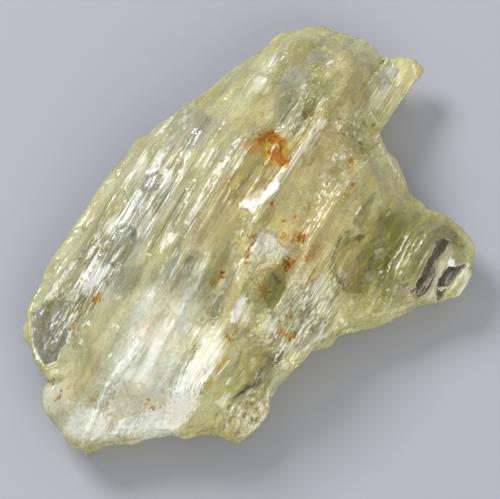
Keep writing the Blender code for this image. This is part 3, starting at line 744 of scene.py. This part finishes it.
SHADE = {
    "strip_strokes": [(0.8, 0.6, (78, 262), (92, 242)), (0.8, 0.6, (86, 264), (98, 246)),
        (0.8, 0.7, (94, 268), (106, 250)), (0.8, 0.6, (102, 268), (112, 256))],
    "plateau_gap": (0.3, 0.8, (186, 288), (196, 276)),
    "left_next": (0.7, 0, (72, 304), (75, 292), (88, 289), (88, 300), (80, 311)),
    "left_soft": (0.45, 0, (93, 342), (100, 320), (108, 296), (122, 270), (146, 262), (142, 282),
        (128, 300), (112, 318), (104, 335)),
    "strip_middle": (0.7, 0, (151, 208), (158, 198), (169, 190), (167, 200), (158, 212), (151, 214)),
    "strip_high": (0.6, 0, (142, 190), (148, 176), (157, 173), (154, 184), (148, 190)),
    "groove": (0.7, 1.0, *GROOVE),
    "crown_tail": (0.3, 0, (276, 95), (284, 87), (292, 92), (288, 110), (280, 122), (274, 118)),
    "olive_shade": (0.7, 0.5, (335, 250), (342, 236), (350, 232), (352, 240), (343, 252)),
    "lobe_olive": (0.35, 0, *LOBE_OLIVE),
    "lobe_streaks": (0.8, 3, (390, 270), (404, 240)),
    "pit": (1.0, 0, *PIT),
    "finger": (0.35, 0, (376, 84), (380, 72), (388, 66), (390, 74), (384, 84)),
    "plateau_hollows": [
        (0.25, 0, (168, 300), (176, 276), (188, 250), (196, 238), (200, 244), (186, 274), (176, 302)),
        (0.4, 0, (204, 296), (214, 270), (226, 248), (232, 252), (218, 280), (210, 300))],
    "north": (0.4, 1, (182, 148), (190, 128), (204, 112), (212, 118), (200, 140), (190, 152)),
    "low_slot": (0.6, 1, (272, 346), (284, 322), (290, 326), (280, 348)),
    "plateau_pink": (0.5, 4, (172, 214), (200, 204), (204, 224), (180, 236)),
    "foot_lobe": (0.15, 2, (232, 402), (250, 396), (258, 410), (244, 424), (230, 420)),
    "right_mid": (0.4, 5, (330, 175), (350, 170), (356, 195), (335, 205)),
    "lobe_top": (0.8, 1.5, (430, 236), (446, 226), (466, 244), (464, 254), (447, 243), (434, 241)),
    "lobe_mid_low": (0.8, 0, (374, 286), (384, 266), (392, 256), (397, 266), (388, 286)),
    "lobe_mid": (0.7, 1.0, (390, 242), (404, 222), (412, 226), (398, 246)),
    "lobe_low": (0.6, 1.5, (372, 296), (384, 284), (408, 284), (404, 298)),
    "east_shelf": (0.7, 0.5, (352, 226), (362, 205), (372, 196), (368, 212), (362, 226)),
    "east_shelf_right": (0.6, 0, (376, 222), (388, 208), (398, 214), (390, 232)),
    "foot_mid": (0.7, 0, (244, 384), (252, 372), (266, 354), (276, 350), (264, 376), (252, 392)),
    "heart_gap": (0.5, 0, (252, 196), (262, 172), (268, 168), (262, 186), (256, 200)),
}
print(len(CRACK_SHADE), "names of cracks,", len(SHADE), "shaded places")

# %% [markdown]
# ## Tints
#
# The iron and the haze aren't spread evenly through the stone. These places are broad and soft:
# warm honey, cool near-white, olive, glassy and cloudy. The olive along the rims is painted light,
# the deeper yellow-green where light runs a long way through the thin edges.

# %% Tints
WARM = {
    "heart": (1.0, 6, (215, 190), (250, 130), (330, 110), (365, 180), (330, 250), (300, 290),
        (240, 240)),
    "east": (0.7, 6, (300, 260), (335, 215), (325, 260), (305, 300)),
    "crown": (0.5, 8, (330, 60), (355, 95), (340, 110)),
    "plateau": (0.5, 6, (160, 250), (180, 215), (205, 205), (215, 225), (170, 250)),
    "foot": (0.4, 8, (235, 420), (255, 400)),
}
COOL = {
    "pit_sheet": (1.0, 4, (250, 254), (262, 236), (272, 238), (288, 253), (274, 258)),
    "plateau": (1.0, 8, (100, 390), (150, 290), (190, 260), (200, 300), (180, 330), (130, 390)),
    "north": (0.8, 6, (160, 150), (185, 105), (212, 120), (190, 140)),
    "left": (1.0, 8, (80, 290), (150, 175), (165, 190), (110, 290)),
    "crown": (0.6, 4, (275, 120), (285, 88), (295, 95), (285, 120)),
    "low_right": (0.6, 5, (290, 300), (300, 280), (310, 320), (300, 345)),
    "south": (1.0, 8, (56, 392), (60, 430), (110, 390), (160, 350), (190, 370), (170, 430), (110, 440),
        (75, 438)),
}
OLIVE = {
    "lobe": (1.0, 3, (335, 270), (350, 236), (385, 220), (430, 212), (425, 250), (400, 290), (360, 320),
        (345, 290)),
    "foot": (0.5, 4, (205, 410), (228, 360), (250, 352), (240, 390), (215, 430), (190, 432)),
    "crown": (0.5, 5, (280, 45), (310, 35), (320, 45), (330, 90), (318, 110), (300, 50)),
    # The rims are painted light: deeper yellow-green where light runs through the thin edges.
    "left_rim": (0.8, 2, (26, 330), (32, 352), (44, 376), (52, 374), (30, 322)),
    "low_rim": (0.7, 3, (350, 322), (420, 305), (415, 300), (350, 312)),
    "pit": (0.6, 4, (250, 345), (262, 310), (275, 300), (262, 340)),
    "east_edge": (0.5, 6, (370, 180), (395, 200)),
    "south_rim": (1.0, 4, (62, 438), (75, 446), (100, 448), (125, 444), (100, 446), (75, 444)),
    "finger_rim": (0.9, 3, (388, 54), (408, 56), (419, 68), (412, 84), (398, 106), (384, 128),
        (396, 104), (410, 82), (416, 68), (406, 58)),
    "crown_rim": (0.8, 4, (248, 62), (288, 30), (325, 28), (352, 46), (325, 32), (290, 34)),
    "lobe_rim": (0.9, 3, (470, 255), (472, 280), (462, 300), (440, 304), (460, 298), (469, 280)),
    "north_rim": (0.6, 4, (150, 150), (200, 100), (248, 62), (202, 104)),
    "foot_rim": (0.8, 4, (180, 440), (225, 444), (262, 425), (268, 395), (258, 424), (224, 440)),
}
GLASSY = {
    "left_strip": (0.4, 5, (45, 350), (50, 300), (110, 210), (150, 155), (168, 185), (110, 290)),
    "lobe": (0.8, 5, (340, 280), (350, 240), (390, 220), (440, 225), (465, 260), (440, 300),
        (380, 300)),
    "foot": (0.25, 5, (215, 410), (235, 370), (262, 356), (262, 400), (240, 430)),
    "crown": (0.6, 4, (282, 85), (292, 66), (318, 50), (325, 60), (298, 90)),
    "pit": (0.6, 4, (255, 300), (272, 270), (283, 290), (275, 312)),
    "low_right": (0.5, 4, (290, 340), (305, 300), (320, 310), (310, 345)),
    "finger": (0.1, 4, (368, 100), (385, 68), (400, 75), (385, 110)),
}
CLOUDY = {
    "plateau_low": (1.0, 8, (110, 390), (150, 300), (190, 310), (180, 350), (140, 400)),
    "south": (0.8, 6, (75, 430), (100, 390), (170, 390), (180, 430), (120, 440)),
    "east": (0.8, 6, (200, 340), (225, 330), (225, 350), (205, 370)),
    "heart": (0.1, 8, (240, 200), (270, 140), (330, 120), (340, 200), (300, 240)),
    "crown": (0.4, 8, (230, 110), (260, 60), (275, 70), (250, 120)),
    "tip": (0.6, 5, (48, 398), (60, 385), (70, 400), (60, 412)),
    "south_tip": (0.6, 4, (62, 430), (80, 415), (112, 430), (95, 444)),
    "finger": (1.0, 4, (384, 72), (402, 62), (410, 72), (390, 104)),
    "foot_lobe": (0.6, 3, (232, 420), (238, 400), (262, 392), (266, 404), (256, 424), (240, 432)),
    "foot_left": (0.8, 6, (205, 415), (222, 385), (232, 385), (225, 420)),
    "low_right": (0.5, 5, (300, 340), (325, 310), (335, 315), (310, 348)),
}
print(sum(len(t) for t in (WARM, COOL, OLIVE, GLASSY, CLOUDY)), "tinted places")

# %% [markdown]
# ## Numbers kept on the skin
#
# The thinned skin has new points, so they are read again, and each gets its numbers for the
# material: for a crisp mark its distance and strength, and for a soft one its share. Windows and
# glassy stone show on the far side too, so light that goes through them comes out again.

# %% Kept numbers
FAR_SIDE = -0.6
TINT_BLUR, SHADE_BLUR = 2.5, 0.5  # mm
GLASSY_BEHIND = 0.5

places, outward = read_points()
pixels = in_picture(places)
facing = outward @ np.array(to_camera) > 0.0
through = facing | (outward @ np.array(to_camera) < FAR_SIDE)


def keep(name, values):
    """Stores one number for each point of the skin, for the material to read."""
    fine.attributes.new(name, "FLOAT", "POINT").data.foreach_set("value", values.astype(np.float32))
    print(name, "averages", round(float(values.mean()), 3))


for name, family in {"window": WINDOWS, "white": WHITES_AND_HIGHLIGHTS, "rust": RUST, "gold": GOLD,
                     "crack": CRACK_SHADE, "frosted": FROSTED}.items():
    edge, depth = nearest_mark(family, pixels, through if family is WINDOWS else facing)
    keep(name + "_edge", edge)
    keep(name + "_depth", depth)
for name, family in {"warm": WARM, "cool": COOL, "olive": OLIVE, "cloudy": CLOUDY}.items():
    keep(name, soft_share(family, pixels, facing, TINT_BLUR))
keep("shade", soft_share(SHADE, pixels, facing, SHADE_BLUR))
keep("front", facing * 1.0)
keep("glassy", np.maximum(soft_share(GLASSY, pixels, through, ZONE_BLUR), GLASSY_BEHIND * ~facing))
keep("fluted", np.maximum(soft_share(FLUTED, pixels, facing, ZONE_BLUR), FLUTED_BEHIND * ~facing))
keep("grainy", soft_share(GRAINY, pixels, facing, ZONE_BLUR))
keep("level", soft_share(SMOOTH, pixels, facing, SMOOTH_BLUR))

# %% [markdown]
# ## Golden beryl
#
# Beryl refracts by 1.577, less than most gems, so it never flashes. Iron takes out some violet and
# blue over a path of centimetres, which is plain volume absorption. The etched skin is frosted and
# scatters light back, milky white to cream, and is clear only where a splinter broke off clean.
#
# The whole finish is one shader with patterns. One function adds a node of any kind, and fills its
# inputs in order or by name.

# %% A node and its links
beryl = bpy.data.materials.new("etched_golden_beryl")
beryl.use_nodes = True
beryl.node_tree.nodes.clear()


def linear(hex_colour):
    """An sRGB hex colour as linear red, green, blue and alpha."""
    channels = [int(hex_colour[i:i + 2], 16) / 255 for i in (1, 3, 5)]
    return [c / 12.92 if c <= 0.04045 else ((c + 0.055) / 1.055) ** 2.4 for c in channels] + [1.0]


def add(kind, *values, output=None, **settings):
    """Adds a node, by its kind and operation, and returns its first or its named output."""
    kind, *operation = kind.split()
    node = beryl.node_tree.nodes.new("ShaderNode" + kind)
    if operation:
        node.operation = operation[0]
    for key, value in settings.items():
        setattr(node, key, value)
    by_name = values and isinstance(values[0], dict)
    for key, value in (values[0] if by_name else dict(enumerate(values))).items():
        if isinstance(value, bpy.types.NodeSocket):
            beryl.node_tree.links.new(value, node.inputs[key])
        else:
            node.inputs[key].default_value = value
    return node.outputs[output] if output else next((o for o in node.outputs if o.enabled), None)


on_stone = add("TexCoord", output="Object")
kept = {numbers.name: add("Attribute", output="Fac", attribute_name=numbers.name)
        for numbers in fine.attributes if numbers.data_type == "FLOAT"}
print("the material reads", len(kept), "kept numbers")

# %% [markdown]
# ## Patterns of the grain
#
# Everything in the stone is drawn out along the c-axis. Each pattern has the length and width of
# what it stands for, in mm: clouds of haze, wisps, the grain of the splinters, and lines as fine
# as the render can show. Plates are the flat chips that etching leaves.

# %% Patterns
DRAWN_OUT = 0.4  # patterns reach farther up and down than across
MOST, MIDDLE = (0.3, 0.7), (0.35, 0.65)  # where most of a pattern's values lie


def pattern(length, width, detail):
    """A pattern in patches of that length along the grain and that width across it, in mm."""
    scale = (1 / MM / length, 1 / MM / width, 1 / MM / width * min(1, DRAWN_OUT + width / length))
    place = add("Mapping", {"Vector": on_stone, "Scale": scale})
    return add("TexNoise", {"Vector": place, "Scale": 1.0, "Detail": detail})


def plates(length, width):
    """Flat chips of that size, each with its own small tilt, as a height, and a chance for each."""
    scale = (1 / MM / length, 1 / MM / width, 0.5 / MM / width)
    place = add("Mapping", {"Vector": on_stone, "Scale": scale})
    cell = add("TexVoronoi", {"Vector": place, "Scale": 1.0}, output="Color")
    off = add("VectorMath SUBTRACT", place, cell.node.outputs["Position"])
    tilt = add("VectorMath SUBTRACT", cell, (0.5, 0.5, 0.5))
    return add("VectorMath DOT_PRODUCT", off, tilt, output="Value"), add("SeparateColor", {"Color": cell})


clouds = pattern(9, 4, 2.0)
wisps = pattern(1.9, 1.0, 2.0)
grain = pattern(6, 0.35, 2.0)
lines = pattern(7, 0.12, 0.0)
grit = pattern(0.4, 0.34, 1.0)
fray = pattern(1.1, 0.22, 1.0)
specks = pattern(0.35, 0.3, 1.0)
sugar = pattern(0.22, 0.2, 0.0)
tinge = pattern(5, 2.2, 0.0)
chips, chip_chance = plates(1.7, 0.8)
flakes, flake_chance = plates(0.42, 0.28)
print("nine patterns and two sizes of plates in", len(beryl.node_tree.nodes), "nodes")


# %% Marks in the material
def mark(name, fray, fray_mm, soft_mm, wider_mm=0.0):
    """A mark's share, with its edge frayed by a pattern and softened over that many mm."""
    shifted = add("MapRange", fray, *MOST, wider_mm - fray_mm, wider_mm + fray_mm)
    edge = add("Math ADD", kept[name + "_edge"], shifted)
    return add("Math MULTIPLY", add("MapRange", edge, -soft_mm / 2, soft_mm / 2), kept[name + "_depth"])


def all_over(share, zone, elsewhere, there):
    """A pattern's share, weaker or stronger in one zone than elsewhere."""
    return add("Math MULTIPLY", share, add("MapRange", kept[zone], 0, 1, elsewhere, there))


window = mark("window", fray, 0.07, 0.08)
torn = add("MapRange", lines, 0.42, 0.56, 0.5, 1.0)
whole = add("MapRange", kept["white_depth"], 0.86, 0.92)
# White marks paint highlights into the colour.
white = add("Math MULTIPLY", mark("white", fray, 0.12, 0.10, 0.02), add("Math MAXIMUM", torn, whole))
streaky = add("Math ADD", add("Math MULTIPLY", grain, 0.5), add("Math MULTIPLY", lines, 0.5))
frosted = mark("frosted", streaky, 0.5, 0.6)
rust = mark("rust", specks, 0.22, 0.30)
gold = mark("gold", fray, 0.15, 0.2)
crack = mark("crack", specks, 0.08, 0.10, 0.03)

# The windows' broken bright rims are painted highlights along their edges.
rim = add("Math ADD", kept["window_edge"], add("MapRange", fray, *MOST, -0.07, 0.07))
rim = add("MapRange", add("Math ABSOLUTE", rim), 0.02, 0.09, 1.0, 0.0)
for share in (add("MapRange", specks, 0.40, 0.55), kept["front"],
              add("MapRange", kept["window_depth"], 0.4, 0.6)):
    rim = add("Math MULTIPLY", rim, share)
print("marks and the broken bright rims of the windows")

# %% [markdown]
# ## Fine pale and dark lines, with painted highlights and shade
#
# Between the named marks the skin is never plain. Fluted ground has bright and dark lines, the
# painted highlights and painted shade of its grooves. Grainy ground has flecks and a sugary
# sparkle, both painted glints, and pale veins wander everywhere.

# %% Lines, flecks and veins
# Painted highlights and painted shade of the grooves on fluted ground.
groove_highlights = all_over(add("MapRange", lines, 0.60, 0.64), "fluted", 0.08, 0.85)
groove_shade = all_over(add("MapRange", lines, 0.41, 0.37), "fluted", 0.05, 0.55)
window_lines = add("Math MULTIPLY", add("MapRange", lines, 0.58, 0.62),
                   add("Math MULTIPLY", window, kept["front"]))
# Painted glints: white flecks on grainy ground.
fleck_glints = all_over(add("MapRange", flake_chance, 0.945, 0.95), "grainy", 0.08, 0.9)
fleck_glints = add("Math MULTIPLY", fleck_glints, add("MapRange", specks, 0.44, 0.50))
veins = add("Math ABSOLUTE", add("Math SUBTRACT", wisps, 0.52))
veins = all_over(add("MapRange", veins, 0.0, 0.008, 0.5, 0.0), "level", 0.6, 0.3)
# Painted sparkle: pale sugar on grainy ground, gathered with the other painted highlights.
pale = all_over(add("MapRange", sugar, 0.58, 0.72), "grainy", 0.12, 0.5)
for share in (groove_highlights, fleck_glints, veins, add("Math MULTIPLY", rim, 0.8),
              add("Math MULTIPLY", window_lines, 0.22)):
    pale = add("Math MAXIMUM", pale, share)
print("lines, flecks, veins and sugar")

# %% [markdown]
# ## Milk
#
# How milky the skin is decides how much light goes in. It starts from clouds of haze. Named
# places, chips and lines add to it or take from it, and windows clear it away. White, rust and
# cracks lie on top, so they hold light back wherever they are.

# %% Milk
milky = add("Math ADD", add("MapRange", clouds, *MIDDLE, 0.28, 0.46),
            add("MapRange", wisps, *MIDDLE, -0.06, 0.06))
chips_and_frost = add("Math MULTIPLY_ADD", frosted, 0.5, all_over(
    add("MapRange", chip_chance, 0.0, 1.0, -0.05, 0.05), "level", 1.0, 0.4))
for share, amount in ((kept["cloudy"], 0.32), (kept["glassy"], -0.24), (kept["shade"], -0.28),
                      (chips_and_frost, 1.0), (groove_shade, -0.3)):
    milky = add("Math MULTIPLY_ADD", share, amount, milky, use_clamp=True)
milky = add("Math MULTIPLY", milky, add("Math SUBTRACT", 1.0, window))
for share, amount in ((pale, 0.45), (white, 0.6)):
    milky = add("Math MULTIPLY_ADD", share, amount, milky, use_clamp=True)
for share in (rust, crack):
    milky = add("Math MAXIMUM", milky, add("Math MULTIPLY", share, 0.8), use_clamp=True)
see_through = add("Math SUBTRACT", 1.0, milky, use_clamp=True)
print("the milk is mixed in", len(beryl.node_tree.nodes), "nodes so far")


# %% [markdown]
# ## Colour
#
# The tints lie over one another, from the palest and broadest to the smallest: the stone, then
# its chips and lines with the painted shade of the grooves, the windows' tint with its painted
# shade, white with its painted highlights, gold, rust and the painted shade of cracks.

# %% Colour
def lay_over(colour, *layers):
    """Lays colours over a first one, each by its own share."""
    for share, hex_colour in layers:
        colour = add("Mix", {0: share, 6: colour, 7: linear(hex_colour)}, data_type="RGBA")
    return colour


stone = lay_over(
    linear("#EDE69C"),
    (add("MapRange", clouds, *MIDDLE), "#F3EEBA"),
    (add("Math MULTIPLY", kept["warm"], 0.8), "#F0D68E"),
    (add("Math MULTIPLY", kept["cool"], 0.8), "#E9F2EA"),
    (add("Math MULTIPLY", kept["olive"], 0.8), "#D9D45C"),
    (add("MapRange", tinge, 0.54, 0.62, 0.0, 0.35), "#F4DEA0"),
    (add("MapRange", tinge, 0.46, 0.38, 0.0, 0.35), "#E4EABC"),
    (all_over(add("MapRange", chip_chance, 0.3, 0.0, 0.0, 0.25), "level", 1.0, 0.3), "#CFD090"),
    (all_over(add("MapRange", flake_chance, 0.05, 0.045, 0.0, 0.7), "grainy", 0.08, 1.0), "#6E6844"),
    (add("MapRange", sugar, 0.45, 0.35, 0.0, 0.2), "#C4BC84"),
    # painted shade of the grooves
    (add("Math MULTIPLY", groove_shade, 0.6), "#A8A47C"))
# The windows' tint: blue-grey for the table seen through, deep brown as painted shade of the shaded
# table.
window_tint_and_shade = lay_over(linear("#D6E6F2"), (add("MapRange", kept["window_depth"], 0.46, 0.6), "#EEF0E2"),
                 (add("MapRange", kept["window_depth"], 0.6, 1.0), "#4A4036"))
stone = add("Mix", {0: window, 6: stone, 7: window_tint_and_shade}, data_type="RGBA")
# White marks, frost and pale lines, with their painted highlights and glints, go on in near-white.
palest = add("Math MAXIMUM", white, add("Math MAXIMUM", frosted, pale))
stone = lay_over(stone, (palest, "#FCFCF6"), (gold, "#E8B844"))
ripe = add("Math MULTIPLY", rust, add("MapRange", specks, *MIDDLE, 0.7, 1.35))
rusty = lay_over(linear("#E2B256"), (add("MapRange", ripe, 0.1, 0.55), "#D28A0A"),
                 (add("MapRange", ripe, 0.55, 0.95), "#B4640A"),
                 (add("MapRange", ripe, 0.95, 1.2), "#5E1606"))
stone = add("Mix", {0: add("MapRange", rust, 0.0, 0.5), 6: stone, 7: rusty}, data_type="RGBA")
# Cracks are drawn dark olive, as painted shade.
stone = lay_over(stone, (crack, "#4E4A30"))
print("coloured in", len(beryl.node_tree.nodes), "nodes so far")

# %% [markdown]
# ## Frost, fine relief and the shader
#
# Etched beryl is a little rough, and its clean breaks are glossy. Relief finer than the mesh is
# drawn as bump, 0.09 mm deep. The shader has plain transmission, and the volume takes out blue.

# %% Shader
BERYL_IOR = 1.577
frost = add("MapRange", grain, *MOST, 0.10, 0.25)
frost = add("Math ADD", frost, add("Math MULTIPLY", kept["level"], 0.15))
frost = add("Math MULTIPLY", frost, add("MapRange", window, 0, 1, 1.0, 0.15))

height = all_over(grain, "fluted", 0.12, 0.8)
for share, zone, elsewhere, there in ((lines, "fluted", 0.12, 0.45), (grit, "level", 1.0, 0.2),
                                      (chips, "level", 1.1, 0.2), (flakes, "grainy", 0.6, 1.2)):
    height = add("Math ADD", height, all_over(share, zone, elsewhere, there))
fine_relief = add("Bump", {"Height": height, "Strength": 0.7, "Distance": 0.09 * MM})

shader = add("BsdfPrincipled", {"Base Color": stone, "Roughness": frost, "Normal": fine_relief,
                                "Transmission Weight": see_through, "IOR": BERYL_IOR})
absorption = add("VolumeAbsorption", {"Color": (0.955, 0.935, 0.52, 1), "Density": 55.0})
add("OutputMaterial", {"Surface": shader, "Volume": absorption})
fine.materials.clear()
fine.materials.append(beryl)
print(beryl.name, "has", len(beryl.node_tree.nodes), "nodes")

# %% [markdown]
# ## The floor
#
# A pale grey card stands in for a studio table. It is plain, so it can't draw the eye, and it lies
# a hair below the stone, so the two never share a plane.

# %% Floor
BELOW_STONE = 0.02 * MM
bpy.ops.mesh.primitive_plane_add(size=3, location=(0, 0, -BELOW_STONE))
floor = bpy.context.object
floor.name = "floor"
card = bpy.data.materials.new("pale_grey_card")
card.use_nodes = True
card_shader = card.node_tree.nodes["Principled BSDF"]
card_shader.inputs["Base Color"].default_value = linear("#A6A8AF")
card_shader.inputs["Roughness"].default_value = 0.8
floor.data.materials.append(card)
print("floor of", round(floor.dimensions.x, 1), "m")

# %% [markdown]
# ## The light
#
# One large soft window stands high at the upper left of the picture, which draws the soft shadow
# at the lower right. A weaker card in front and the pale room fill in.


# %% Light
def softbox(name, direction, away, width, height, watts, colour):
    """A rectangular soft light that shines on the stone from a direction."""
    light = bpy.data.lights.new(name, "AREA")
    light.shape, light.size, light.size_y = "RECTANGLE", width, height
    light.energy, light.color = watts, linear(colour)[:3]
    stand = bpy.data.objects.new(name, light)
    direction = Vector(direction).normalized()
    stand.location = AIM + direction * away
    stand.rotation_euler = (-direction).to_track_quat("-Z", "Y").to_euler()
    bpy.context.scene.collection.objects.link(stand)


softbox("window", (0.19, 0.70, 0.72), 0.42, 0.18, 0.14, 1.35, "#F8FAFF")
softbox("front_card", (-0.45, -0.65, 0.60), 0.60, 0.50, 0.40, 1.6, "#FFFBF2")

ROOM_LIGHT = 0.6
room = bpy.data.worlds.new("pale_room")
room.use_nodes = True
room.node_tree.nodes["Background"].inputs["Color"].default_value = linear("#F2F4F8")
room.node_tree.nodes["Background"].inputs["Strength"].default_value = ROOM_LIGHT
scene = bpy.context.scene
scene.world = room
scene.view_settings.view_transform = "Standard"
scene.cycles.max_bounces = 12
scene.cycles.transmission_bounces = 12
scene.cycles.transparent_max_bounces = 8
print("lit by a window, a front card and a pale room")
